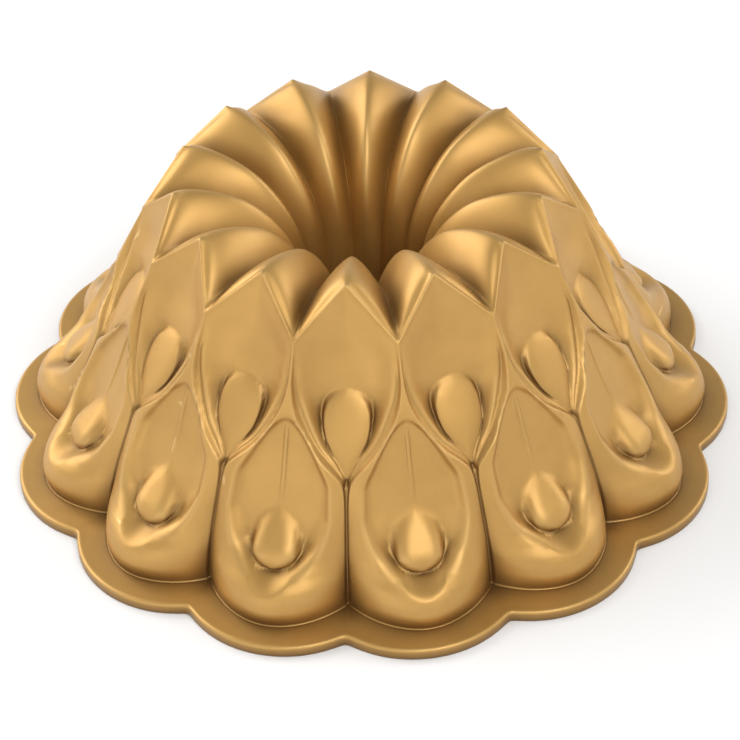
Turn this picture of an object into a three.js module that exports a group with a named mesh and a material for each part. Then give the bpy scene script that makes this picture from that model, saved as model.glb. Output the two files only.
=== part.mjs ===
// Fluted ring cake pan of cast aluminium, set down open side first on its lobed flange.
// Millimetres, +Z up; the flange rests on z = 0 and the ring's axis is the Z axis.
// The wall repeats in 14 mirrored sectors. In each, "share" runs from 0 on the middle line
// of an upper petal to 0.5 on the middle line of the lower petal beside it.
import * as THREE from 'three';

const SECTORS = 14;
const SECTOR_ANGLE = 2 * Math.PI / SECTORS;

// Driving dimensions.
const FLANGE_TOP = 4.2;
const FLANGE_EDGE_ROUND = 1.2;
const NOTCH_RADIUS = 125;
const LOBE_REACH = 8.2;
const LOBE_POWER = 2.2;
const ENVELOPE_RADIUS = 118.9;
const ENVELOPE_DRAFT = 0.488;
const TIP = { radius: 64.1, z: 104 };
const CORNER = { radius: 76, z: 88 };
const FACE_START = 76;
const TUBE_END = 6;
const CAST_THICKNESS = 3;
const LINING_GAP = 0.3;
const LINING_THICKNESS = 0.5;
const LINING_FOOT = 1.5;
const TERRACE_START = 43.5;
const BOWL_STEEPNESS = 1.8;
const BOWL_RIM_ROUND = 1.5;
const BOWL_TIP_ROUND = 5;
const DROP_ROUND = 4.5;
const DROP_SIDE_SLOPE = 2.4;
const RISER_TOP = 0.6;
const SEAM_ROUND = 0.4;
const DROP_FILLET = 0.5;
const RISER_SLOPE = 3.6;
const HUMP = 0.6;

// Lower petals: each height z with a radius, a depth or a share of the sector.
const SEAM_RADIUS = curve([[4.2, 110.4], [15.5, 108], [24, 105.6], [31.5, 102.5], [39, 99.3],
  [50, 94.3], [60, 89.4], [90, 75]]);
const CUSHION_RISE = curve([[4.2, 13.4], [10, 15], [13, 14.6], [16, 13.2], [20, 9.6], [24, 7.3],
  [30, 6.8], [37, 5], [46, 2.8], [54, 1.6], [74, 1], [90, 0.1]]);
const BOWL_EDGE = curve([[4, 0.815], [19, 0.383], [22, 0.288], [25, 0.216], [30, 0.152],
  [36, 0.12], [44, 0.124], [52, 0.21], [60, 0.33], [67, 0.48], [69, 0.5], [78, 0.6]]);
const BOWL_FLOOR = curve([[4, 111], [16, 110], [19, 108.6], [22, 106], [25, 103.9], [28, 102.4],
  [33, 100.4], [38, 98], [46, 94], [58, 88.9], [64, 86.6], [70, 84]]);
const LOWER_DROP_FACE = curve([[16.5, 113.2], [18.5, 113], [21, 112.5], [23.5, 111.6],
  [25.5, 110.2], [28, 107.6], [31, 104.4], [34, 101.3], [38, 98.5], [42, 96.6], [50, 92.9],
  [58, 89.5], [66, 85.4]]);
const LOWER_DROP_HALF = curve([[12, -0.7], [18.2, 0], [18.6, 0.055], [19.4, 0.1], [21, 0.135],
  [24, 0.156], [28, 0.154], [31.5, 0.135], [34, 0.1], [36, 0.055], [38, 0.022], [46, 0.013],
  [66, 0.012], [70, -0.3]]);
const LOWER_DROP_BULGE = curve([[17, 1.8], [24, 2.2], [30, 2.2], [36, 1], [42, 0.3], [66, 0.1]]);

// Upper petals: the outline, the terrace inside it, the hollow further in and the drop in it.
// HOLLOW_RIM_SHARE is where the hollow above FACE_START comes up to the envelope.
const PETAL_EDGE = curve([[4.2, 0.012], [36, 0.014], [42, 0.02], [45.5, 0.034], [49.3, 0.105],
  [54.3, 0.232], [59.4, 0.326], [64.8, 0.404], [70.4, 0.461], [76.4, 0.488], [84, 0.5]]);
const TERRACE_DEPTH = curve([[4.2, 0.5], [36, 0.6], [44, 1], [54, 1.8], [66, 1.7], [76, 1]]);
const TERRACE_WIDTH = curve([[43.5, 0.5], [46, 0.8], [50, 1.4], [55, 1.8], [61, 2.4], [66, 2.7],
  [74, 2.2]]);
const HOLLOW_FLOOR = curve([[43.5, 97], [46, 92.6], [50, 88.2], [54, 84.3], [58, 81.2],
  [62, 79.2], [66, 78.1], [70.8, 77.1], [75, 75.2], [82, 71.4], [88, 69.2], [104, 64.1]]);
const HOLLOW_RIM_SHARE = curve([[76, 0.484], [104, 0.5]]);
const UPPER_DROP_FACE = curve([[46.4, 94.6], [54, 89.6], [62, 84.3], [66, 81.5], [70.8, 77.9],
  [72, 77]]);
const UPPER_DROP_HALF = curve([[40, -0.1], [46, 0], [50, 0.062], [54, 0.13], [58, 0.184],
  [63, 0.206], [66, 0.194], [68.6, 0.15], [70, 0.1], [70.9, 0], [76, -0.7]]);
const UPPER_DROP_BULGE = curve([[46, 0.5], [60, 0.6], [70.8, 0.5]]);

// Crown: the ridge behind each tip and the valley behind each corner, over into the tube.
const RIDGE = path([[64.1, 104], [60.4, 104.1], [53.4, 102.9], [46.4, 100.4], [39.4, 96.5],
  [32.2, 89.3], [25.5, 78.5], [22.3, 68.4], [19, 45], [16, TUBE_END]]);
const VALLEY = path([[76, 88], [73.5, 88.9], [66, 90.1], [55, 89.7], [43.5, 85.5],
  [33.5, 78.6], [26.6, 68.7], [22.6, 57], [19.3, 38], [16, TUBE_END]]);

// Where the rows and columns of the wall's facets lie.
const WALL_LEVELS = [FLANGE_TOP, 8, 13, 15.5, 17.2, 19.2, 22.5, 27, 33, 38.5, 43.5, 47.5, 52, 57, 62,
  66.5, 70.8, FACE_START];
const FACE_ROWS = 2;
const CROWN_STEPS = [0.09, 0.22, 0.36, 0.52, 0.74, 1];
const COARSE_SHARES = [0, 0.17, 0.33, 0.5];
const INNER_CROWN_STEPS = [1, 0.7, 0.5, 0.3, 0.12];
const INNER_LEVELS = [74, 63, 52, 41, 30, 18, 7];
const FLANGE_SHARES = [0, 0.07, 0.2, 0.34, 0.5];

/** A smooth curve through the points that never overshoots them; flat beyond its ends. */
function curve(points) {
  const count = points.length;
  const step = [];
  const slope = [];
  for (let i = 0; i < count - 1; i += 1) {
    step.push(points[i + 1][0] - points[i][0]);
    slope.push((points[i + 1][1] - points[i][1]) / step[i]);
  }
  const tangent = [slope[0]];
  for (let i = 1; i < count - 1; i += 1) {
    const before = 2 * step[i] + step[i - 1];
    const after = step[i] + 2 * step[i - 1];
    const turns = slope[i - 1] * slope[i] <= 0;
    tangent.push(turns ? 0 : (before + after) / (before / slope[i - 1] + after / slope[i]));
  }
  tangent.push(slope[count - 2]);
  return (x) => {
    const at = Math.min(Math.max(x, points[0][0]), points[count - 1][0]);
    let i = 0;
    while (i < count - 2 && at > points[i + 1][0]) i += 1;
    const t = (at - points[i][0]) / step[i];
    const low = points[i][1] * (1 + 2 * t) * (1 - t) ** 2 + tangent[i] * step[i] * t * (1 - t) ** 2;
    const high = points[i + 1][1] * t * t * (3 - 2 * t) + tangent[i + 1] * step[i] * t * t * (t - 1);
    return low + high;
  };
}

/** A smooth path of radius and z, from 0 at its first point to 1 at its last. */
function path(points) {
  const last = points.length - 1;
  const radius = curve(points.map((point, i) => [i / last, point[0]]));
  const height = curve(points.map((point, i) => [i / last, point[1]]));
  return (along) => ({ radius: radius(along), z: height(along) });
}

/** The value, kept between the two limits. */
function within(value, low, high) {
  return Math.min(Math.max(value, low), high);
}

function smoothStep(from, to, x) {
  const t = within((x - from) / (to - from), 0, 1);
  return t * t * (3 - 2 * t);
}

/** The larger of two values with a rounded change-over of the given width. */
function roundedMax(a, b, width) {
  const share = within(0.5 + 0.5 * (a - b) / width, 0, 1);
  return b + (a - b) * share + width * share * (1 - share);
}

function roundedMin(a, b, width) {
  return -roundedMax(-a, -b, width);
}

function envelope(z) {
  return ENVELOPE_RADIUS - ENVELOPE_DRAFT * z;
}

/** The pillow of a lower petal between two seams. */
function cushion(share, z) {
  const power = 1.87 + 0.5 * smoothStep(8, 26, z);
  return SEAM_RADIUS(z) + CUSHION_RISE(z) * (1 - Math.max(1 - 2 * share, 0) ** power);
}

/** The bowl sunk into a lower petal: steep just inside its outline, level further in. */
function bowl(share, z) {
  const side = edgeDistance(BOWL_EDGE, share, z);
  const otherSide = edgeDistance(BOWL_EDGE, 1 - share, z);
  const inside = roundedMax(roundedMin(side, otherSide, BOWL_TIP_ROUND), 0, BOWL_RIM_ROUND);
  const steep = BOWL_STEEPNESS * (1 + 1.9 * (1 - smoothStep(18, 30, z)));
  const depth = Math.max(cushion(share, z) - BOWL_FLOOR(z), 0.01);
  return cushion(share, z) - depth * Math.tanh(steep * inside / depth);
}

/** A raised drop: its face, rounded over to its outline, then a steep side. */
function drop(share, z, face, half, bulge) {
  const beyond = edgeDistance(half, share, z);
  const roundOver = within(1 + beyond / DROP_ROUND, 0, 1) ** 2;
  return face(z) - bulge(z) * roundOver - DROP_SIDE_SLOPE * Math.max(beyond, 0);
}

/** How far a point lies beyond an outline, measured square to it; shares grow outward. */
function edgeDistance(edge, share, z) {
  const across = SECTOR_ANGLE * envelope(z);
  const lean = across * (edge(z + 0.15) - edge(z - 0.15)) / 0.3;
  return (share - edge(z)) * across / Math.hypot(1, lean);
}

/** An upper petal: a riser down from its outline to a terrace, then the slope into the hollow. */
function upperPetal(share, z) {
  const inside = -edgeDistance(PETAL_EDGE, share, z);
  const riser = SEAM_RADIUS(z) + RISER_TOP - RISER_SLOPE * inside;
  const terrace = SEAM_RADIUS(z) - TERRACE_DEPTH(z);
  const depth = Math.max(terrace - HOLLOW_FLOOR(z), 0.01);
  const slope = 3.2 - 2.2 * smoothStep(58, 74, z);
  const furtherIn = roundedMax(inside - TERRACE_WIDTH(z), 0, 0.3 + 0.6 * smoothStep(62, 72, z));
  const sunk = z > TERRACE_START ? depth * Math.tanh(slope * furtherIn / depth) : 0;
  return roundedMax(riser, terrace - sunk, 0.35);
}

/** The face of an upper petal above FACE_START. */
function hollow(share, z) {
  const floor = HOLLOW_FLOOR(z);
  const soft = 0.03;
  const out = (Math.hypot(share, soft) - soft) / (Math.hypot(HOLLOW_RIM_SHARE(z), soft) - soft);
  const low = 1 - smoothStep(74, 96, z);
  const shape = (1 - 0.34 * low) * out ** (1.2 + 0.6 * low) + 0.34 * low * out ** 7;
  return floor + (envelope(z) - floor) * shape;
}

/** Outer radius of the fluted wall at a share of the sector and a height. */
function wallRadius(share, z) {
  const lowerDrop = drop(0.5 - share, z, LOWER_DROP_FACE, LOWER_DROP_HALF, LOWER_DROP_BULGE);
  const lower = roundedMax(bowl(share, z), lowerDrop, DROP_FILLET);
  const upperDrop = drop(share, z, UPPER_DROP_FACE, UPPER_DROP_HALF, UPPER_DROP_BULGE);
  const upper = roundedMax(upperPetal(share, z), upperDrop, DROP_FILLET);
  return roundedMin(lower, upper, SEAM_ROUND);
}

/** Outer radius above FACE_START, where only the upper petals and the cushions are left. */
function faceRadius(share, z) {
  return roundedMin(cushion(share, z), hollow(share, z), SEAM_ROUND);
}

/** The eight column lines of the wall at a height: they follow steps, edges and drops. */
function columnShares(z) {
  const dropTop = 0.15 * smoothStep(60, 66, z);
  const upperDrop = Math.max(UPPER_DROP_HALF(z), dropTop, 0.015);
  const outer = within(PETAL_EDGE(z), upperDrop + 0.044, 0.43);
  const inner = Math.max(outer - TERRACE_WIDTH(z) * 0.04, upperDrop + 0.022);
  const crest = Math.min(outer + 0.07 - 0.035 * smoothStep(8, 24, z), 0.452);
  const edge = within(BOWL_EDGE(Math.max(z, 19.5)), crest + 0.018, 0.47);
  const lowerHalf = Math.max(LOWER_DROP_HALF(Math.max(z, 20.5)), 0.015);
  const lowerDrop = Math.max(0.5 - lowerHalf, edge + 0.012);
  return [0, upperDrop, inner, outer, crest, edge, lowerDrop, 0.5];
}

/** A point in one half sector: its share is also its angle. */
function ringPoint(share, radius, z) {
  const angle = share * SECTOR_ANGLE;
  return { share, x: radius * Math.sin(angle), y: radius * Math.cos(angle), z };
}

/** The straight rim from a petal's tip (0) to the corner between two petals (0.5). */
function rimPoint(share) {
  const part = share / 0.5;
  const cornerX = CORNER.radius * Math.sin(SECTOR_ANGLE / 2);
  const cornerY = CORNER.radius * Math.cos(SECTOR_ANGLE / 2);
  const x = cornerX * part;
  const y = TIP.radius + (cornerY - TIP.radius) * part;
  return { share, x, y, z: TIP.z + (CORNER.z - TIP.z) * part };
}

/** The petal's face between FACE_START and the rim. */
function facePoint(share, up) {
  const rim = rimPoint(share);
  const rimShare = Math.atan2(rim.x, rim.y) / SECTOR_ANGLE;
  const z = FACE_START + (rim.z - FACE_START) * up;
  const at = share + (rimShare - share) * up;
  const rimError = Math.hypot(rim.x, rim.y) - faceRadius(rimShare, rim.z);
  const startError = wallRadius(share, FACE_START) - faceRadius(share, FACE_START);
  const radius = faceRadius(at, z) + rimError * up ** 2 + startError * (1 - up) ** 2;
  return { ...ringPoint(at, radius, z), share };
}

/** The crown and the tube: flat behind the tip, then a hump from ridge to valley. */
function crownPoint(share, along) {
  const part = share / 0.5;
  const ridge = RIDGE(along);
  const valley = VALLEY(along);
  const x = part * valley.radius * Math.sin(SECTOR_ANGLE / 2);
  const y = ridge.radius + (valley.radius * Math.cos(SECTOR_ANGLE / 2) - ridge.radius) * part;
  const power = 1 + HUMP * smoothStep(0.02, 0.22, along) * (1 - smoothStep(0.75, 1, along));
  return { share, x, y, z: ridge.z + (valley.z - ridge.z) * part ** power };
}

/** Inner side of the wall: the smallest outer radius nearby, less the thickness. */
function innerWallPoint(share, z, thickness) {
  const reach = 0.07;
  let smallest = Infinity;
  for (let i = -3; i <= 3; i += 1) {
    const near = Math.abs(share + reach * i / 3);
    const folded = near > 0.5 ? 1 - near : near;
    for (let j = -1; j <= 1; j += 1) {
      const level = Math.max(z + 2 * j, FLANGE_TOP);
      smallest = Math.min(smallest, wallOrFaceRadius(folded, level));
    }
  }
  return ringPoint(share, smallest - thickness, z);
}

function wallOrFaceRadius(share, z) {
  return z < FACE_START ? wallRadius(share, z) : faceRadius(share, z);
}

/** Food side of the crown and tube: moved down under the crown, outward around the tube. */
function innerCrownPoint(share, along, thickness) {
  const outside = crownPoint(share, along);
  const radius = Math.hypot(outside.x, outside.y);
  const turn = smoothStep(0.25, 0.8, along);
  const out = Math.sin(turn * Math.PI / 2);
  const down = Math.cos(turn * Math.PI / 2);
  const steepFlank = 1.4;
  const shift = thickness * (1 + (steepFlank - 1) * down);
  const scale = (radius + shift * out) / radius;
  return { share, x: outside.x * scale, y: outside.y * scale, z: outside.z - shift * down };
}

/** All rows of the food side, from the tube's end round to the lining's foot. */
function foodSideRings(thickness, tubeZ) {
  const rings = INNER_CROWN_STEPS.map((along) => COARSE_SHARES.map((share) => {
    const point = innerCrownPoint(share, along, thickness);
    return along === 1 ? { ...point, z: tubeZ } : point;
  }));
  const shoulderDrop = 6.5;
  rings.push(COARSE_SHARES.map((share) => {
    const rim = rimPoint(share);
    const radius = Math.hypot(rim.x, rim.y) - thickness * 0.9;
    return ringPoint(share, radius, rim.z - shoulderDrop - thickness * 0.3);
  }));
  for (const z of [...INNER_LEVELS, LINING_FOOT]) {
    rings.push(COARSE_SHARES.map((share) => innerWallPoint(share, z, thickness)));
  }
  return rings;
}

/** One closed ring of points: every half sector and its mirror image, all the way round. */
function fullRing(half) {
  const points = [];
  const last = half.length - 1;
  for (let sector = 0; sector < SECTORS; sector += 1) {
    for (let i = 0; i < last; i += 1) points.push(place(half[i], sector, 1));
    for (let i = last; i > 0; i -= 1) points.push(place(half[i], sector + 1, -1));
  }
  return points;
}

/** Turns a half-sector point to its sector; sector 0 faces -Y. */
function place(point, sector, side) {
  const angle = sector * SECTOR_ANGLE;
  const across = side * point.x;
  return {
    turn: sector + side * point.share,
    x: across * Math.cos(angle) + point.y * Math.sin(angle),
    y: across * Math.sin(angle) - point.y * Math.cos(angle),
    z: point.z,
  };
}

/** Joins two rings with triangles, whatever their numbers of points. */
function joinRings(low, high, lowStart, highStart, triangles) {
  if (low.length === high.length) {
    joinEqualRings(low, high, lowStart, highStart, triangles);
    return;
  }
  let i = 0;
  let j = 0;
  const nextTurn = (ring, k) => (k + 1 < ring.length ? ring[k + 1].turn : SECTORS);
  while (i < low.length || j < high.length) {
    const a = lowStart + (i % low.length);
    const b = highStart + (j % high.length);
    const lowFirst = j >= high.length || (i < low.length && nextTurn(low, i) <= nextTurn(high, j));
    if (lowFirst) {
      triangles.push([a, lowStart + ((i + 1) % low.length), b]);
      i += 1;
    } else {
      triangles.push([a, highStart + ((j + 1) % high.length), b]);
      j += 1;
    }
  }
}

/** Joins rings with the same number of points; the diagonals mirror like the half sectors. */
function joinEqualRings(low, high, lowStart, highStart, triangles) {
  const count = low.length;
  const halfCount = count / (2 * SECTORS);
  const outward = Math.hypot(low[0].x, low[0].y) < Math.hypot(high[0].x, high[0].y);
  for (let i = 0; i < count; i += 1) {
    const k = (i + 1) % count;
    const a = lowStart + i;
    const b = lowStart + k;
    const c = highStart + k;
    const d = highStart + i;
    const mirrored = i % (2 * halfCount) >= halfCount;
    if (mirrored !== outward) {
      triangles.push([a, b, c], [a, c, d]);
    } else {
      triangles.push([a, b, d], [b, c, d]);
    }
  }
}

/** A closed body from half-sector rings in order, the last joined to the first. */
function closedBody(name, halfRings, material) {
  const rings = halfRings.map(fullRing);
  const starts = [];
  const positions = [];
  for (const ring of rings) {
    starts.push(positions.length / 3);
    for (const point of ring) positions.push(point.x, point.y, point.z);
  }
  const triangles = [];
  for (let i = 0; i < rings.length; i += 1) {
    const next = (i + 1) % rings.length;
    joinRings(rings[i], rings[next], starts[i], starts[next], triangles);
  }
  const geometry = new THREE.BufferGeometry();
  geometry.setAttribute('position', new THREE.Float32BufferAttribute(positions, 3));
  geometry.setIndex(triangles.flat());
  geometry.computeVertexNormals();
  const mesh = new THREE.Mesh(geometry, material);
  mesh.name = name;
  return mesh;
}

function lobeRadius(share) {
  const soft = 0.02;
  const out = Math.max(1 - 2 * (Math.hypot(share, soft) - soft), 0);
  return NOTCH_RADIUS + LOBE_REACH * (1 - out ** LOBE_POWER);
}

/** The flange's underside, lobed edge and top, from the food side back to the wall's foot. */
function flangeRings() {
  const edge = (inset, z) => FLANGE_SHARES.map((share) => ringPoint(share, lobeRadius(share) - inset, z));
  return [
    edge(0, 0),
    edge(0.2, FLANGE_TOP - FLANGE_EDGE_ROUND),
    edge(FLANGE_EDGE_ROUND, FLANGE_TOP),
  ];
}

function castingRings() {
  const rings = WALL_LEVELS.map((z) => (
    columnShares(z).map((share) => ringPoint(share, wallRadius(share, z), z))
  ));
  const faceShares = columnShares(FACE_START);
  for (let row = 1; row <= FACE_ROWS; row += 1) {
    rings.push(faceShares.map((share) => facePoint(share, row / FACE_ROWS)));
  }
  for (const along of CROWN_STEPS) {
    rings.push(COARSE_SHARES.map((share) => crownPoint(share, along)));
  }
  rings.push(...foodSideRings(CAST_THICKNESS, TUBE_END));
  rings.push(COARSE_SHARES.map((share) => innerWallPoint(share, 0, CAST_THICKNESS)));
  rings.push(...flangeRings());
  return rings;
}

function liningRings() {
  const outside = foodSideRings(CAST_THICKNESS + LINING_GAP, TUBE_END + 1);
  const inside = foodSideRings(CAST_THICKNESS + LINING_GAP + LINING_THICKNESS, TUBE_END + 1);
  return [...outside.reverse(), ...inside];
}

function material(name, color, metalness, roughness) {
  const result = new THREE.MeshStandardMaterial({ color, metalness, roughness });
  result.name = name;
  return result;
}

const CHAMPAGNE = material('champagne_gold_aluminium', 0xc59a58, 0.9, 0.42);
const LINING_GREY = material('nonstick_lining', 0x8a7a62, 0.2, 0.55);

const pan = new THREE.Group();
pan.name = 'bundt_pan';
pan.add(closedBody('pan_casting', castingRings(), CHAMPAGNE));
pan.add(closedBody('nonstick_lining', liningRings(), LINING_GREY));

export default pan;
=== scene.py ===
"""A fluted ring cake pan in satin champagne-gold cast aluminium, standing on its lobed flange."""
import math

import bpy
import numpy as np
from mathutils import Matrix, Vector


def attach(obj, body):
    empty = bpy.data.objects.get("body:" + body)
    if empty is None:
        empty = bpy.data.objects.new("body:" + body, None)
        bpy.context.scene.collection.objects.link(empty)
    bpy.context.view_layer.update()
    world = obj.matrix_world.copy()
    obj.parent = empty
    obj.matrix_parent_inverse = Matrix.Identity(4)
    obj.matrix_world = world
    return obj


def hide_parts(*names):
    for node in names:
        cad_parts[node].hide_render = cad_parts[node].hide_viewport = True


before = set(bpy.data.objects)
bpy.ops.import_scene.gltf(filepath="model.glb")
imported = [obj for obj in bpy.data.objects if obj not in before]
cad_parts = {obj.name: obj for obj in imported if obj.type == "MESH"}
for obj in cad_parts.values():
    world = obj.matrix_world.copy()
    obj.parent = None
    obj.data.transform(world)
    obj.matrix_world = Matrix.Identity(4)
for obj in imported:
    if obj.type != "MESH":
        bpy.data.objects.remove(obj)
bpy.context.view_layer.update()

MM = 0.001
SECTORS = 14
SECTOR_ANGLE = 2 * math.pi / SECTORS

# Driving dimensions of the pan, the same as the CAD part's. Lengths are in millimetres; slopes,
# powers and shares of a sector have no unit. The food side follows the smallest outer radius
# within SMOOTHING_SHARE and SMOOTHING_HEIGHT of each point.
FLANGE_TOP = 4.2
FLANGE_EDGE_ROUND = 1.2
NOTCH_RADIUS = 125.0
LOBE_REACH = 8.2
LOBE_POWER = 2.2
ENVELOPE_RADIUS = 118.9
ENVELOPE_DRAFT = 0.488
TIP_RADIUS, TIP_Z = 64.1, 104.0
CORNER_RADIUS, CORNER_Z = 76.0, 88.0
FACE_START = 76.0
TUBE_END = 6.0
CAST_THICKNESS = 3.0
LINING_GAP = 0.3
LINING_THICKNESS = 0.5
LINING_FOOT = 1.5
SHOULDER_DROP = 6.5
INNER_WALL_TOP = 74
SMOOTHING_SHARE, SMOOTHING_HEIGHT = 0.07, 2
TERRACE_START = 43.5
CUSHION_POWER = 1.87
BOWL_STEEPNESS = 1.8
BOWL_FOOT_STEEPER = 1.9
BOWL_RIM_ROUND = 1.5
BOWL_TIP_ROUND = 5.0
DROP_ROUND = 4.5
DROP_SIDE_SLOPE = 2.4
RISER_TOP = 0.6
SEAM_ROUND = 0.4
DROP_FILLET = 0.5
RISER_SLOPE = 3.6
HUMP = 0.6
HOLLOW_SLOPE, HOLLOW_SLOPE_TOP = 3.2, 1.0
HOLLOW_LIP = 0.34
HOLLOW_LIP_POWER = 7

# Fine details that only this mesh has: beads along rims, veins in the valleys, rounded folds.
# RIM_SQUARE turns a height below the slanting rim into roughly the distance square to it.
BEAD_HEIGHT = 0.4
BEAD_WIDTH = 1.0
RIM_SQUARE = 0.62
VEIN_HEIGHT = 0.5
VEIN_WIDTH = 0.8
RIDGE_ROUND = 0.12
TERRACE_ROUND = 0.35
FOOT_FILLET = ((1.0, 0.0), (0.45, 0.12))

# Colours of the two finishes, with a painted highlight for sharp edges and painted shade for creases.
GOLD_DEEP = (0.485, 0.275, 0.072, 1)
GOLD_PALE = (0.56, 0.325, 0.09, 1)
# Painted highlight for sharp edges.
GOLD_PAINTED_HIGHLIGHT = (0.68, 0.455, 0.185, 1)
# Painted shade for occluded creases.
GOLD_PAINTED_SHADE = (0.17, 0.086, 0.022, 1)
LINING_DEEP = (0.25, 0.19, 0.115, 1)
LINING_PALE = (0.33, 0.255, 0.16, 1)

# How finely each stretch of the surface is divided, as columns across half a sector and as
# rows. The column lines keep a least half width of drop, and lean a little to even spacing.
COLUMN_COUNTS = (4, 3, 3, 3, 4, 3, 4, 3, 4, 5)
WALL_STRETCHES = ((FLANGE_TOP, 14.6, 10), (14.6, 20.5, 28), (20.5, 44, 30), (44, FACE_START, 54))
FACE_ROWS = 16
CROWN_ROWS = 32
LEAST_HALF = 0.015
EVEN_SPACING = 0.2
INNER_COLUMNS = 36
INNER_CROWN_ROWS = 10
INNER_WALL_ROWS = 13


def curve(points):
    """A smooth curve through the points that never overshoots them, flat beyond its ends."""
    xs = np.array([p[0] for p in points], float)
    ys = np.array([p[1] for p in points], float)
    step = np.diff(xs)
    slope = np.diff(ys) / step
    tangent = np.concatenate([slope[:1], np.zeros(len(xs) - 2), slope[-1:]])
    for i in range(1, len(xs) - 1):
        if slope[i - 1] * slope[i] > 0:
            before = 2 * step[i] + step[i - 1]
            after = step[i] + 2 * step[i - 1]
            tangent[i] = (before + after) / (before / slope[i - 1] + after / slope[i])

    def value(x):
        at = np.clip(np.asarray(x, float), xs[0], xs[-1])
        i = np.clip(np.searchsorted(xs, at) - 1, 0, len(xs) - 2)
        t = (at - xs[i]) / step[i]
        low = ys[i] * (1 + 2 * t) * (1 - t) ** 2 + tangent[i] * step[i] * t * (1 - t) ** 2
        high = ys[i + 1] * t * t * (3 - 2 * t) + tangent[i + 1] * step[i] * t * t * (t - 1)
        return low + high

    return value


def path(points):
    """A smooth path of radius and z, from 0 at its first point to 1 at its last."""
    last = len(points) - 1
    radius = curve([(i / last, p[0]) for i, p in enumerate(points)])
    height = curve([(i / last, p[1]) for i, p in enumerate(points)])
    return lambda along: (radius(along), height(along))


# Lower petals: heights z with a radius or a share of the sector.
SEAM_RADIUS = curve([(4.2, 110.4), (15.5, 108), (24, 105.6), (31.5, 102.5), (39, 99.3),
                     (50, 94.3), (60, 89.4), (90, 75)])
CUSHION_RISE = curve([(4.2, 13.4), (10, 15), (13, 14.6), (16, 13.2), (20, 9.6), (24, 7.3),
                      (30, 6.8), (37, 5), (46, 2.8), (54, 1.6), (74, 1), (90, 0.1)])
BOWL_EDGE = curve([(4, 0.815), (19, 0.383), (22, 0.288), (25, 0.216), (30, 0.152), (36, 0.12),
                   (44, 0.124), (52, 0.21), (60, 0.33), (67, 0.48), (69, 0.5), (78, 0.6)])
BOWL_FLOOR = curve([(4, 111), (16, 110), (19, 108.6), (22, 106), (25, 103.9), (28, 102.4),
                    (33, 100.4), (38, 98), (46, 94), (58, 88.9), (64, 86.6), (70, 84)])
LOWER_DROP_FACE = curve([(16.5, 113.2), (18.5, 113), (21, 112.5), (23.5, 111.6), (25.5, 110.2),
                         (28, 107.6), (31, 104.4), (34, 101.3), (38, 98.5), (42, 96.6),
                         (50, 92.9), (58, 89.5), (66, 85.4)])
LOWER_DROP_HALF = curve([(12, -0.7), (18.2, 0), (18.6, 0.055), (19.4, 0.1), (21, 0.135),
                         (24, 0.156), (28, 0.154), (31.5, 0.135), (34, 0.1), (36, 0.055),
                         (38, 0.022), (46, 0.013), (66, 0.012), (70, -0.3)])
LOWER_DROP_BULGE = curve([(17, 1.8), (24, 2.2), (30, 2.2), (36, 1), (42, 0.3), (66, 0.1)])

# Upper petals: the outline, the terrace inside it, the hollow further in and the drop in it.
PETAL_EDGE = curve([(4.2, 0.012), (36, 0.014), (42, 0.02), (45.5, 0.034), (49.3, 0.105),
                    (54.3, 0.232), (59.4, 0.326), (64.8, 0.404), (70.4, 0.461), (76.4, 0.488),
                    (84, 0.5)])
TERRACE_DEPTH = curve([(4.2, 0.5), (36, 0.6), (44, 1), (54, 1.8), (66, 1.7), (76, 1)])
TERRACE_WIDTH = curve([(43.5, 0.5), (46, 0.8), (50, 1.4), (55, 1.8), (61, 2.4), (66, 2.7),
                       (74, 2.2)])
HOLLOW_FLOOR = curve([(43.5, 97), (46, 92.6), (50, 88.2), (54, 84.3), (58, 81.2), (62, 79.2),
                      (66, 78.1), (70.8, 77.1), (75, 75.2), (82, 71.4), (88, 69.2), (104, 64.1)])
HOLLOW_RIM_SHARE = curve([(76, 0.484), (104, 0.5)])
UPPER_DROP_FACE = curve([(46.4, 94.6), (54, 89.6), (62, 84.3), (66, 81.5), (70.8, 77.9), (72, 77)])
UPPER_DROP_HALF = curve([(40, -0.1), (46, 0), (50, 0.062), (54, 0.13), (58, 0.184), (63, 0.206),
                         (66, 0.194), (68.6, 0.15), (70, 0.1), (70.9, 0), (76, -0.7)])
UPPER_DROP_BULGE = curve([(46, 0.5), (60, 0.6), (70.8, 0.5)])

# Crown: the ridge behind each tip and the valley behind each corner, over into the tube.
RIDGE = path([(64.1, 104), (60.4, 104.1), (53.4, 102.9), (46.4, 100.4), (39.4, 96.5),
              (32.2, 89.3), (25.5, 78.5), (22.3, 68.4), (19, 45), (16, TUBE_END)])
VALLEY = path([(76, 88), (73.5, 88.9), (66, 90.1), (55, 89.7), (43.5, 85.5),
               (33.5, 78.6), (26.6, 68.7), (22.6, 57), (19.3, 38), (16, TUBE_END)])


def smooth_step(start, end, x):
    """From 0 at start to 1 at end, level at both."""
    t = np.clip((np.asarray(x, float) - start) / (end - start), 0, 1)
    return t * t * (3 - 2 * t)


def rounded_max(a, b, width):
    """The larger of two values with a rounded change-over of the given width."""
    share = np.clip(0.5 + 0.5 * (a - b) / width, 0, 1)
    return b + (a - b) * share + width * share * (1 - share)


def rounded_min(a, b, width):
    """The smaller of two values with a rounded change-over of the given width."""
    return -rounded_max(-a, -b, width)


def envelope(z):
    """Radius of the plain cone that the petals follow."""
    return ENVELOPE_RADIUS - ENVELOPE_DRAFT * z


def cushion(share, z):
    """The pillow of a lower petal between two seams."""
    power = CUSHION_POWER + 0.5 * smooth_step(8, 26, z)
    return SEAM_RADIUS(z) + CUSHION_RISE(z) * (1 - np.maximum(1 - 2 * share, 0) ** power)


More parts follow.
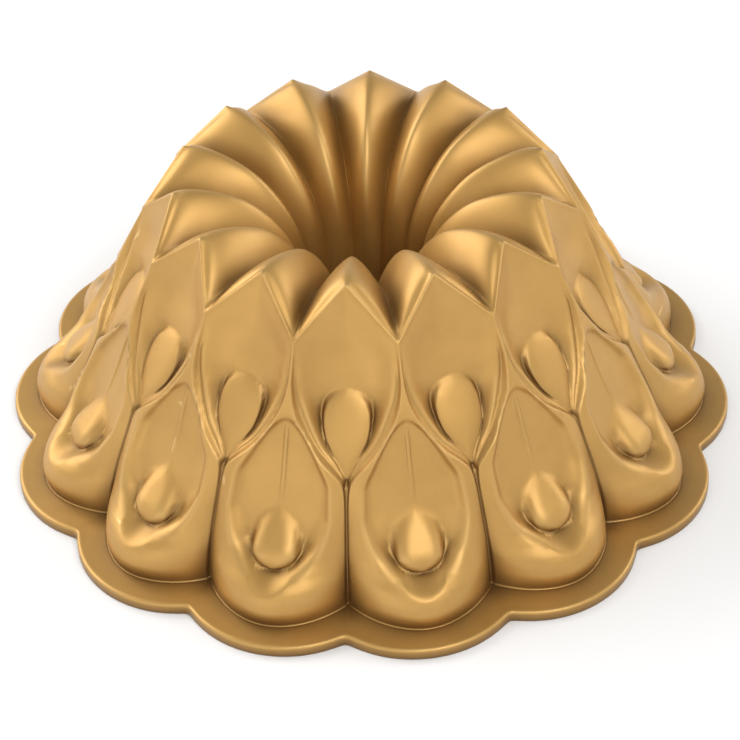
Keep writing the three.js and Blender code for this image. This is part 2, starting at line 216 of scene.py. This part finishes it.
def bowl(share, z):
    """The bowl sunk into a lower petal: a fine bead, then steep inside its outline, then level."""
    side = edge_distance(BOWL_EDGE, share, z)
    other_side = edge_distance(BOWL_EDGE, 1 - share, z)
    distance = rounded_min(side, other_side, BOWL_TIP_ROUND)
    inside = rounded_max(distance, 0, BOWL_RIM_ROUND)
    bead = BEAD_HEIGHT * np.exp(-((distance - 0.2) / BEAD_WIDTH) ** 2)
    steep = BOWL_STEEPNESS * (1 + BOWL_FOOT_STEEPER * (1 - smooth_step(18, 30, z)))
    depth = np.maximum(cushion(share, z) - BOWL_FLOOR(z), 0.01)
    return cushion(share, z) - depth * np.tanh(steep * inside / depth) + bead


def drop(share, z, face, half, bulge):
    """A raised drop: its face, rounded over to its outline, then a steep side."""
    beyond = edge_distance(half, share, z)
    round_over = np.clip(1 + beyond / DROP_ROUND, 0, 1) ** 2
    return face(z) - bulge(z) * round_over - DROP_SIDE_SLOPE * np.maximum(beyond, 0)


def edge_distance(edge, share, z):
    """How far a point lies beyond an outline, measured square to it; shares grow outward."""
    across = SECTOR_ANGLE * envelope(z)
    lean = across * (edge(z + 0.15) - edge(z - 0.15)) / 0.3
    return (share - edge(z)) * across / np.hypot(1, lean)


def upper_petal(share, z):
    """A riser down from the outline to a terrace, then the slope into the hollow."""
    inside = -edge_distance(PETAL_EDGE, share, z)
    riser = SEAM_RADIUS(z) + RISER_TOP - RISER_SLOPE * inside
    terrace = SEAM_RADIUS(z) - TERRACE_DEPTH(z)
    depth = np.maximum(terrace - HOLLOW_FLOOR(z), 0.01)
    slope = HOLLOW_SLOPE + (HOLLOW_SLOPE_TOP - HOLLOW_SLOPE) * smooth_step(58, 74, z)
    lip_round = 0.3 + 0.6 * smooth_step(62, 72, z)
    further_in = rounded_max(inside - TERRACE_WIDTH(z), 0, lip_round)
    sunk = np.where(z > TERRACE_START, depth * np.tanh(slope * further_in / depth), 0)
    return rounded_max(riser, terrace - sunk, TERRACE_ROUND)


def hollow(share, z):
    """The face of an upper petal above FACE_START."""
    floor = HOLLOW_FLOOR(z)
    soft = 0.03
    out = (np.hypot(share, soft) - soft) / (np.hypot(HOLLOW_RIM_SHARE(z), soft) - soft)
    low = 1 - smooth_step(74, 96, z)
    lip = HOLLOW_LIP * low
    shape = (1 - lip) * out ** (1.2 + 0.6 * low) + lip * out ** HOLLOW_LIP_POWER
    return floor + (envelope(z) - floor) * shape


def wall_radius(share, z):
    """Outer radius of the fluted wall at shares of the sector and heights."""
    lower_drop = drop(0.5 - share, z, LOWER_DROP_FACE, LOWER_DROP_HALF, LOWER_DROP_BULGE)
    lower = rounded_max(bowl(share, z), lower_drop, DROP_FILLET)
    upper_drop = drop(share, z, UPPER_DROP_FACE, UPPER_DROP_HALF, UPPER_DROP_BULGE)
    upper = rounded_max(upper_petal(share, z), upper_drop, DROP_FILLET)
    return rounded_min(lower, upper, SEAM_ROUND)


def face_radius(share, z):
    """Outer radius above FACE_START, where the hollow meets the last of the cushions."""
    return rounded_min(cushion(share, z), hollow(share, z), SEAM_ROUND)


def column_shares(z):
    """Shares of the columns at each height: lines along steps, edges and drops, more between."""
    upper_half = np.maximum(UPPER_DROP_HALF(z), 0.15 * smooth_step(60, 66, z))
    upper_drop = np.maximum(upper_half, LEAST_HALF)
    outer = np.clip(PETAL_EDGE(z), upper_drop + 0.03, 0.445)
    inner = np.maximum(outer - TERRACE_WIDTH(z) * 0.04, upper_drop + 0.015)
    crest = np.minimum(outer + 0.07 - 0.035 * smooth_step(8, 24, z), 0.46)
    edge = np.clip(BOWL_EDGE(np.maximum(z, 19.5)), crest + 0.014, 0.475)
    lower_half = np.maximum(LOWER_DROP_HALF(np.maximum(z, 20.5)), LEAST_HALF)
    lower_drop = np.maximum(0.5 - lower_half, edge + 0.008)
    zero = np.zeros_like(z)
    sill = np.minimum(edge + 0.035, (edge + lower_drop) / 2)
    lines = [zero, upper_drop, (upper_drop + inner) / 2, inner, (inner + outer) / 2, outer,
             crest, edge, sill, lower_drop, zero + 0.5]
    columns = []
    for left, right, count in zip(lines[:-1], lines[1:], COLUMN_COUNTS):
        columns += [left + (right - left) * i / count for i in range(count)]
    columns.append(lines[-1])
    shares = np.stack(columns, -1)
    even = np.linspace(0, 0.5, shares.shape[-1])
    return (1 - EVEN_SPACING) * shares + EVEN_SPACING * even


def ring_points(share, radius, z):
    """Half-sector points: x across the sector, y outward, z up."""
    share, radius, z = np.broadcast_arrays(share, radius, z)
    angle = share * SECTOR_ANGLE
    return np.stack([radius * np.sin(angle), radius * np.cos(angle), z], -1)


def wall_points():
    """Rows of the fluted wall from the flange to FACE_START, and the shares of the last row."""
    stretches = [np.linspace(*stretch, endpoint=False) for stretch in WALL_STRETCHES]
    z = np.append(np.concatenate(stretches), FACE_START)
    shares = column_shares(z)
    heights = np.repeat(z[:, None], shares.shape[1], 1)
    radius = wall_radius(shares, heights)
    return ring_points(shares, radius, heights), shares[-1]


def rim_line(part):
    """The straight rim from a petal's tip (0) to the corner between two petals (1)."""
    corner_x = CORNER_RADIUS * math.sin(SECTOR_ANGLE / 2)
    corner_y = CORNER_RADIUS * math.cos(SECTOR_ANGLE / 2)
    x = corner_x * part
    y = TIP_RADIUS + (corner_y - TIP_RADIUS) * part
    return np.arctan2(x, y) / SECTOR_ANGLE, np.hypot(x, y), TIP_Z + (CORNER_Z - TIP_Z) * part


def face_points(start_shares):
    """The petal's face between FACE_START and its rim, with a fine bead along the rim."""
    part = start_shares / 0.5
    rim_share, rim_radius, rim_z = rim_line(part)
    up = 1 - (1 - np.linspace(0, 1, FACE_ROWS + 1)[1:, None]) ** 1.6
    z = FACE_START + (rim_z - FACE_START) * up
    share = start_shares + (rim_share - start_shares) * up
    start_z = np.full_like(start_shares, FACE_START)
    rim_error = rim_radius - face_radius(rim_share, rim_z)
    start_error = wall_radius(start_shares, start_z) - face_radius(start_shares, start_z)
    radius = face_radius(share, z) + rim_error * up ** 2 + start_error * (1 - up) ** 2
    from_rim = (rim_z - z) * RIM_SQUARE
    bead = BEAD_HEIGHT * np.exp(-(from_rim / BEAD_WIDTH) ** 2)
    return ring_points(share, radius + bead, z)


def crown_hump(along):
    """The power that makes a facet swell a little between its ridge and its valley."""
    return 1 + HUMP * smooth_step(0.02, 0.22, along) * (1 - smooth_step(0.75, 1, along))


def crown_points(part, along):
    """Crown and tube: nearly flat from a rounded ridge down to a valley with a fine vein."""
    ridge_r, ridge_z = RIDGE(along)
    valley_r, valley_z = VALLEY(along)
    half_width = valley_r * math.sin(SECTOR_ANGLE / 2)
    x = part * half_width
    y = ridge_r + (valley_r * math.cos(SECTOR_ANGLE / 2) - ridge_r) * part
    ridge_round = RIDGE_ROUND * smooth_step(0, 0.12, along) * (1 - smooth_step(0.6, 0.95, along))
    safe_round = np.maximum(ridge_round, 0.001)
    rounded = np.where(part < safe_round, (safe_round - part) ** 2 / (2 * safe_round), 0)
    z = ridge_z + (valley_z - ridge_z) * (part + rounded) ** crown_hump(along)
    vein = VEIN_HEIGHT * np.exp(-((1 - part) * half_width / VEIN_WIDTH) ** 2)
    return np.stack([x, y, z + vein * (1 - smooth_step(0.5, 0.8, along))], -1)


def inner_wall_points(share, z, thickness):
    """Food side of the wall: the smallest outer radius round about, less the thickness."""
    smallest = np.full(np.broadcast(share, z).shape, np.inf)
    for i in range(-3, 4):
        near = np.abs(share + SMOOTHING_SHARE * i / 3)
        folded = np.where(near > 0.5, 1 - near, near)
        for j in (-1, 0, 1):
            level = np.maximum(z + SMOOTHING_HEIGHT * j, FLANGE_TOP)
            wall = wall_radius(folded, level)
            radius = np.where(level < FACE_START, wall, face_radius(folded, level))
            smallest = np.minimum(smallest, radius)
    return ring_points(share, smallest - thickness, z)


def inner_crown_points(share, along, thickness):
    """Food side of crown and tube: moved down under the crown, outward around the tube."""
    ridge_r, ridge_z = RIDGE(along)
    valley_r, valley_z = VALLEY(along)
    part = share / 0.5
    x = part * valley_r * math.sin(SECTOR_ANGLE / 2)
    y = ridge_r + (valley_r * math.cos(SECTOR_ANGLE / 2) - ridge_r) * part
    z = ridge_z + (valley_z - ridge_z) * part ** crown_hump(along)
    turn = smooth_step(0.25, 0.8, along) * math.pi / 2
    radius = np.hypot(x, y)
    shift = thickness * (1 + 0.4 * np.cos(turn))
    scale = (radius + shift * np.sin(turn)) / radius
    return np.stack([x * scale, y * scale, z - shift * np.cos(turn)], -1)


def food_side(thickness, tube_z):
    """All rows of the food side, from the tube's end round to the lining's foot."""
    shares = np.linspace(0, 0.5, INNER_COLUMNS + 1)[None, :]
    along = np.linspace(1, 0.12, INNER_CROWN_ROWS)[:, None]
    crown = inner_crown_points(shares, along, thickness)
    crown[0, :, 2] = tube_z
    _, rim_radius, rim_z = rim_line(shares / 0.5)
    shoulder_z = rim_z - SHOULDER_DROP - thickness * 0.3
    shoulder = ring_points(shares, rim_radius - thickness * 0.9, shoulder_z)
    z = np.linspace(INNER_WALL_TOP, LINING_FOOT, INNER_WALL_ROWS)[:, None]
    wall = inner_wall_points(shares, z + 0 * shares, thickness)
    return np.concatenate([crown, shoulder, wall])


def flange_points():
    """The flange's underside, its rounded lobed edge and its top."""
    shares = np.linspace(0, 0.5, INNER_COLUMNS + 1)
    soft = 0.02
    out = np.maximum(1 - 2 * (np.hypot(shares, soft) - soft), 0)
    lobe = NOTCH_RADIUS + LOBE_REACH * (1 - out ** LOBE_POWER)
    profile = [(0.5, 0.0), (0.12, 0.15), (0.02, 0.6), (0.05, 1.8)]
    for step in range(6):
        angle = step / 5 * math.pi / 2
        inset = 0.1 + FLANGE_EDGE_ROUND * (1 - math.cos(angle))
        profile.append((inset, FLANGE_TOP - FLANGE_EDGE_ROUND * (1 - math.sin(angle))))
    profile.append((2.0, FLANGE_TOP))
    return np.stack([ring_points(shares, lobe - inset, z) for inset, z in profile])


def casting_rows():
    """All rows of the casting: up the outside, down the food side and round the flange."""
    wall, top_shares = wall_points()
    face = face_points(top_shares)
    along = np.linspace(0, 1, CROWN_ROWS + 1)[1:, None] ** 1.25
    crown = crown_points(top_shares[None, :] / 0.5, along)
    outside = soften(np.concatenate([wall, face, crown]), len(wall) + FACE_ROWS - 1)
    food = food_side(CAST_THICKNESS, TUBE_END)
    shares = np.linspace(0, 0.5, INNER_COLUMNS + 1)
    heel = inner_wall_points(shares, np.zeros_like(shares), CAST_THICKNESS)[None]
    return np.concatenate([outside, food, heel, flange_points(), foot_fillet(wall[0])])


def foot_fillet(foot):
    """Two short rows that round the inside corner between the flange's top and the wall."""
    radius = np.hypot(foot[:, 0], foot[:, 1])
    rows = []
    for out, lift in FOOT_FILLET:
        scale = (radius + out) / radius
        row = foot * np.stack([scale, scale, np.ones_like(scale)], -1)
        row[:, 2] = FLANGE_TOP + lift
        rows.append(row)
    return np.stack(rows)


def soften(rows, rim_row):
    """Rounds the sharp fold along the petals' rims."""
    result = rows.copy()
    low, high = rim_row - 2, rim_row + 3
    for _ in range(2):
        middle = result[low:high] * 0.5 + (result[low - 1:high - 1] + result[low + 1:high + 1]) * 0.25
        result[low:high] = middle
    return result


def all_sectors(half):
    """Mirrors a half sector and turns it round; sector 0 faces -Y."""
    mirrored = half[:, :0:-1] * np.array([-1, 1, 1])
    turned = []
    for sector in range(SECTORS):
        for points, extra in ((half[:, :-1], 0), (mirrored, 1)):
            angle = (sector + extra) * SECTOR_ANGLE
            x, y = points[..., 0], points[..., 1]
            turned.append(np.stack([x * math.cos(angle) + y * math.sin(angle),
                                    x * math.sin(angle) - y * math.cos(angle), points[..., 2]], -1))
    return np.concatenate(turned, 1)


def closed_piece(name, half_rows, material):
    """A closed mesh from rows that run round the section and meet again."""
    points = all_sectors(half_rows)
    row_count, column_count = points.shape[:2]
    row = np.arange(row_count)[:, None]
    column = np.arange(column_count)[None, :]
    next_row = (row + 1) % row_count
    next_column = (column + 1) % column_count
    corners = [row * column_count + column, row * column_count + next_column,
               next_row * column_count + next_column, next_row * column_count + column]
    faces = np.stack(corners, -1).reshape(-1, 4)
    mesh = bpy.data.meshes.new(name)
    mesh.vertices.add(row_count * column_count)
    mesh.vertices.foreach_set("co", (points * MM).ravel())
    mesh.loops.add(faces.size)
    mesh.loops.foreach_set("vertex_index", faces.ravel())
    mesh.polygons.add(len(faces))
    mesh.polygons.foreach_set("loop_start", np.arange(len(faces)) * 4)
    mesh.update(calc_edges=True)
    mesh.polygons.foreach_set("use_smooth", np.ones(len(faces), bool))
    mesh.materials.append(material)
    piece = bpy.data.objects.new(name, mesh)
    bpy.context.scene.collection.objects.link(piece)
    return piece


def node(tree, kind, place, **values):
    """A shader node with its inputs, or else its settings, given by name."""
    made = tree.nodes.new(kind)
    made.location = place
    for key, value in values.items():
        if key in made.inputs:
            made.inputs[key].default_value = value
        else:
            setattr(made, key, value)
    return made


def noise(tree, vector, place, **values):
    """A noise texture laid out by the given vector."""
    made = node(tree, "ShaderNodeTexNoise", place, **values)
    tree.links.new(vector, made.inputs["Vector"])
    return made


def mapped(tree, value, place, start, end, low=0.0, high=1.0):
    """The value mapped from start..end to low..high."""
    made = node(tree, "ShaderNodeMapRange", place)
    for key, number in (("From Min", start), ("From Max", end), ("To Min", low), ("To Max", high)):
        made.inputs[key].default_value = number
    tree.links.new(value, made.inputs["Value"])
    return made.outputs["Result"]


def satin_gold():
    """Champagne-gold coated casting: cast grain, faint clouds, painted highlight on sharp edges,
    painted shade in creases.
    """
    made = bpy.data.materials.new("satin_champagne_gold")
    made.use_nodes = True
    tree = made.node_tree
    shader = tree.nodes["Principled BSDF"]
    shader.inputs["Metallic"].default_value = 0.8
    shader.inputs["Coat Weight"].default_value = 0.3
    shader.inputs["Coat Roughness"].default_value = 0.35
    place = node(tree, "ShaderNodeTexCoord", (-1400, 0)).outputs["Object"]
    link = tree.links.new

    clouds = noise(tree, place, (-1150, 300), Scale=38.0, Detail=4.0, Roughness=0.55)
    tint = node(tree, "ShaderNodeValToRGB", (-900, 300))
    tint.color_ramp.elements[0].position = 0.3
    tint.color_ramp.elements[0].color = GOLD_DEEP
    tint.color_ramp.elements[1].position = 0.72
    tint.color_ramp.elements[1].color = GOLD_PALE
    link(clouds.outputs["Fac"], tint.inputs["Fac"])

    # Painted highlight: sharp edges, found by pointiness, turn paler.
    form = node(tree, "ShaderNodeNewGeometry", (-1150, 620))
    painted_highlight = mapped(tree, form.outputs["Pointiness"], (-900, 620), 0.508, 0.6)
    painted_highlight_share = node(tree, "ShaderNodeMath", (-750, 620), operation="MULTIPLY")
    painted_highlight_share.inputs[1].default_value = 0.8
    link(painted_highlight, painted_highlight_share.inputs[0])
    edge = node(tree, "ShaderNodeMix", (-600, 420), data_type="RGBA")
    edge.inputs[7].default_value = GOLD_PAINTED_HIGHLIGHT
    link(painted_highlight_share.outputs[0], edge.inputs[0])
    link(tint.outputs["Color"], edge.inputs[6])

    # Painted shade: creases that ambient occlusion finds turn darker, less so towards the tube.
    occlusion = node(tree, "ShaderNodeAmbientOcclusion", (-1150, 900), samples=16, Distance=0.01)
    crease_shade = mapped(tree, occlusion.outputs["AO"], (-900, 900), 0.92, 0.5)
    flat = node(tree, "ShaderNodeVectorMath", (-1150, 1150), operation="MULTIPLY")
    flat.inputs[1].default_value = (1, 1, 0)
    link(place, flat.inputs[0])
    from_axis = node(tree, "ShaderNodeVectorMath", (-950, 1150), operation="LENGTH")
    link(flat.outputs[0], from_axis.inputs[0])
    shade_by_radius = mapped(tree, from_axis.outputs["Value"], (-750, 1150), 0.045, 0.075, 0.3, 0.9)
    painted_shade_share = node(tree, "ShaderNodeMath", (-600, 800), operation="MULTIPLY")
    link(crease_shade, painted_shade_share.inputs[0])
    link(shade_by_radius, painted_shade_share.inputs[1])
    painted_shade = node(tree, "ShaderNodeMix", (-350, 420), data_type="RGBA")
    painted_shade.inputs[7].default_value = GOLD_PAINTED_SHADE
    link(painted_shade_share.outputs[0], painted_shade.inputs[0])
    link(edge.outputs[2], painted_shade.inputs[6])
    link(painted_shade.outputs[2], shader.inputs["Base Color"])

    haze = noise(tree, place, (-1150, -50), Scale=90.0, Detail=3.0, Roughness=0.6)
    rough = mapped(tree, haze.outputs["Fac"], (-600, -50), 0, 1, 0.44, 0.54)
    link(rough, shader.inputs["Roughness"])

    grain = noise(tree, place, (-1150, -350), Scale=1700.0, Detail=3.0, Roughness=0.7)
    waves = noise(tree, place, (-1150, -600), Scale=220.0, Detail=2.0, Roughness=0.5)
    fine = node(tree, "ShaderNodeBump", (-600, -350), Strength=0.16, Distance=0.0001)
    link(grain.outputs["Fac"], fine.inputs["Height"])
    broad = node(tree, "ShaderNodeBump", (-350, -350), Strength=0.06, Distance=0.0003)
    link(waves.outputs["Fac"], broad.inputs["Height"])
    link(fine.outputs["Normal"], broad.inputs["Normal"])
    link(broad.outputs["Normal"], shader.inputs["Normal"])
    return made


def nonstick():
    """Non-stick food side: smooth, slightly mottled satin in a darker champagne."""
    made = bpy.data.materials.new("nonstick_lining")
    made.use_nodes = True
    tree = made.node_tree
    shader = tree.nodes["Principled BSDF"]
    shader.inputs["Metallic"].default_value = 0.35
    place = node(tree, "ShaderNodeTexCoord", (-1200, 0)).outputs["Object"]
    link = tree.links.new
    mottle = noise(tree, place, (-950, 200), Scale=120.0, Detail=5.0, Roughness=0.6)
    tint = node(tree, "ShaderNodeValToRGB", (-650, 200))
    tint.color_ramp.elements[0].color = LINING_DEEP
    tint.color_ramp.elements[1].color = LINING_PALE
    link(mottle.outputs["Fac"], tint.inputs["Fac"])
    link(tint.outputs["Color"], shader.inputs["Base Color"])
    rough = mapped(tree, mottle.outputs["Fac"], (-650, -100), 0, 1, 0.42, 0.56)
    link(rough, shader.inputs["Roughness"])
    peel = noise(tree, place, (-950, -350), Scale=700.0, Detail=2.0)
    bump = node(tree, "ShaderNodeBump", (-350, -300), Strength=0.08, Distance=0.0002)
    link(peel.outputs["Fac"], bump.inputs["Height"])
    link(bump.outputs["Normal"], shader.inputs["Normal"])
    return made


def camera():
    """The photograph's view: 40.6 degrees above the horizon, 0.81 m from the pan's foot centre."""
    distance, lift = 0.8068, 0.7091
    azimuth = math.radians(5.10)
    yaw, pitch, roll = math.radians(-0.07), math.radians(0.77), math.radians(2.51)
    lens = 104.71
    flat = distance * math.cos(lift)
    eye = Vector((flat * math.sin(azimuth), -flat * math.cos(azimuth), distance * math.sin(lift)))
    forward = (-eye).normalized()
    right = Vector((math.cos(azimuth), math.sin(azimuth), 0))
    up = right.cross(forward)
    turn = Matrix.Rotation(yaw, 3, up)
    forward, right = turn @ forward, turn @ right
    turn = Matrix.Rotation(pitch, 3, right)
    forward, up = turn @ forward, turn @ up
    turn = Matrix.Rotation(roll, 3, forward)
    right, up = turn @ right, turn @ up
    data = bpy.data.cameras.new("camera")
    data.lens = lens
    data.clip_end = 20
    made = bpy.data.objects.new("camera", data)
    axes = Matrix((right, up, -forward)).transposed().to_4x4()
    made.matrix_world = Matrix.Translation(eye) @ axes
    bpy.context.scene.collection.objects.link(made)
    bpy.context.scene.camera = made


def softbox(name, place, width, height, power):
    """A white rectangular light that points at the pan."""
    data = bpy.data.lights.new(name, "AREA")
    data.shape = "RECTANGLE"
    data.size = width
    data.size_y = height
    data.energy = power
    made = bpy.data.objects.new(name, data)
    made.location = place
    aim = Vector((0, 0, 0.05)) - Vector(place)
    made.rotation_euler = aim.to_track_quat("-Z", "Y").to_euler()
    bpy.context.scene.collection.objects.link(made)


def paper_floor():
    """Pale paper that glows a little far from the pan, so that its edge fades into the room."""
    made = bpy.data.materials.new("paper_floor")
    made.use_nodes = True
    tree = made.node_tree
    shader = tree.nodes["Principled BSDF"]
    shader.inputs["Base Color"].default_value = (0.92, 0.92, 0.92, 1)
    shader.inputs["Roughness"].default_value = 0.9
    shader.inputs["Emission Color"].default_value = (1, 1, 1, 1)
    place = node(tree, "ShaderNodeTexCoord", (-900, 0)).outputs["Object"]
    away = node(tree, "ShaderNodeVectorMath", (-700, 0), operation="LENGTH")
    tree.links.new(place, away.inputs[0])
    glow = mapped(tree, away.outputs["Value"], (-450, 0), 0.6, 1.4, 0, 0.7)
    tree.links.new(glow, shader.inputs["Emission Strength"])
    return made


def studio():
    """A plain pale floor and four soft lights: above the front, left, low front and right."""
    reach = 1.5
    corners = [(-reach, -reach, 0), (reach, -reach, 0), (reach, reach, 0), (-reach, reach, 0)]
    mesh = bpy.data.meshes.new("floor")
    mesh.from_pydata(corners, [], [(0, 1, 2, 3)])
    mesh.materials.append(paper_floor())
    floor = bpy.data.objects.new("floor", mesh)
    bpy.context.scene.collection.objects.link(floor)
    softbox("key_light", (0.55, -1.05, 1.3), 1.0, 0.7, 12.5)
    softbox("left_light", (-1.1, 0.4, 0.8), 1.3, 1.0, 13)
    softbox("front_light", (-0.7, -1.3, 0.4), 1.0, 0.5, 2)
    softbox("right_light", (1.25, 0.45, 0.7), 0.8, 0.6, 5)
    sky()


def sky():
    """The room around: white where it shows behind the floor, dimmer overhead in reflections."""
    world = bpy.data.worlds.new("studio")
    bpy.context.scene.world = world
    world.use_nodes = True
    tree = world.node_tree
    background = tree.nodes["Background"]
    direction = node(tree, "ShaderNodeTexCoord", (-900, 0))
    split = node(tree, "ShaderNodeSeparateXYZ", (-700, 0))
    shade = node(tree, "ShaderNodeValToRGB", (-450, 0))
    shade.color_ramp.elements[0].position = 0.08
    shade.color_ramp.elements[0].color = (0.92, 0.92, 0.92, 1)
    shade.color_ramp.elements[1].position = 0.75
    shade.color_ramp.elements[1].color = (0.42, 0.42, 0.42, 1)
    tree.links.new(direction.outputs["Generated"], split.inputs[0])
    tree.links.new(split.outputs["Z"], shade.inputs["Fac"])
    seen = node(tree, "ShaderNodeLightPath", (-450, 300))
    backdrop = node(tree, "ShaderNodeMix", (-200, 100), data_type="RGBA")
    backdrop.inputs[7].default_value = (1, 1, 1, 1)
    tree.links.new(seen.outputs["Is Camera Ray"], backdrop.inputs[0])
    tree.links.new(shade.outputs["Color"], backdrop.inputs[6])
    tree.links.new(backdrop.outputs[2], background.inputs[0])
    background.inputs[1].default_value = 1.0


camera()
studio()
casting = closed_piece("casting_detail", casting_rows(), satin_gold())
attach(casting, "root")
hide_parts("pan_casting")

outside = food_side(CAST_THICKNESS + LINING_GAP, TUBE_END + 1)
inside = food_side(CAST_THICKNESS + LINING_GAP + LINING_THICKNESS, TUBE_END + 1)
lining = closed_piece("lining_detail", np.concatenate([outside[::-1], inside]), nonstick())
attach(lining, "root")
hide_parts("nonstick_lining")

bpy.context.scene.view_settings.view_transform = "Standard"
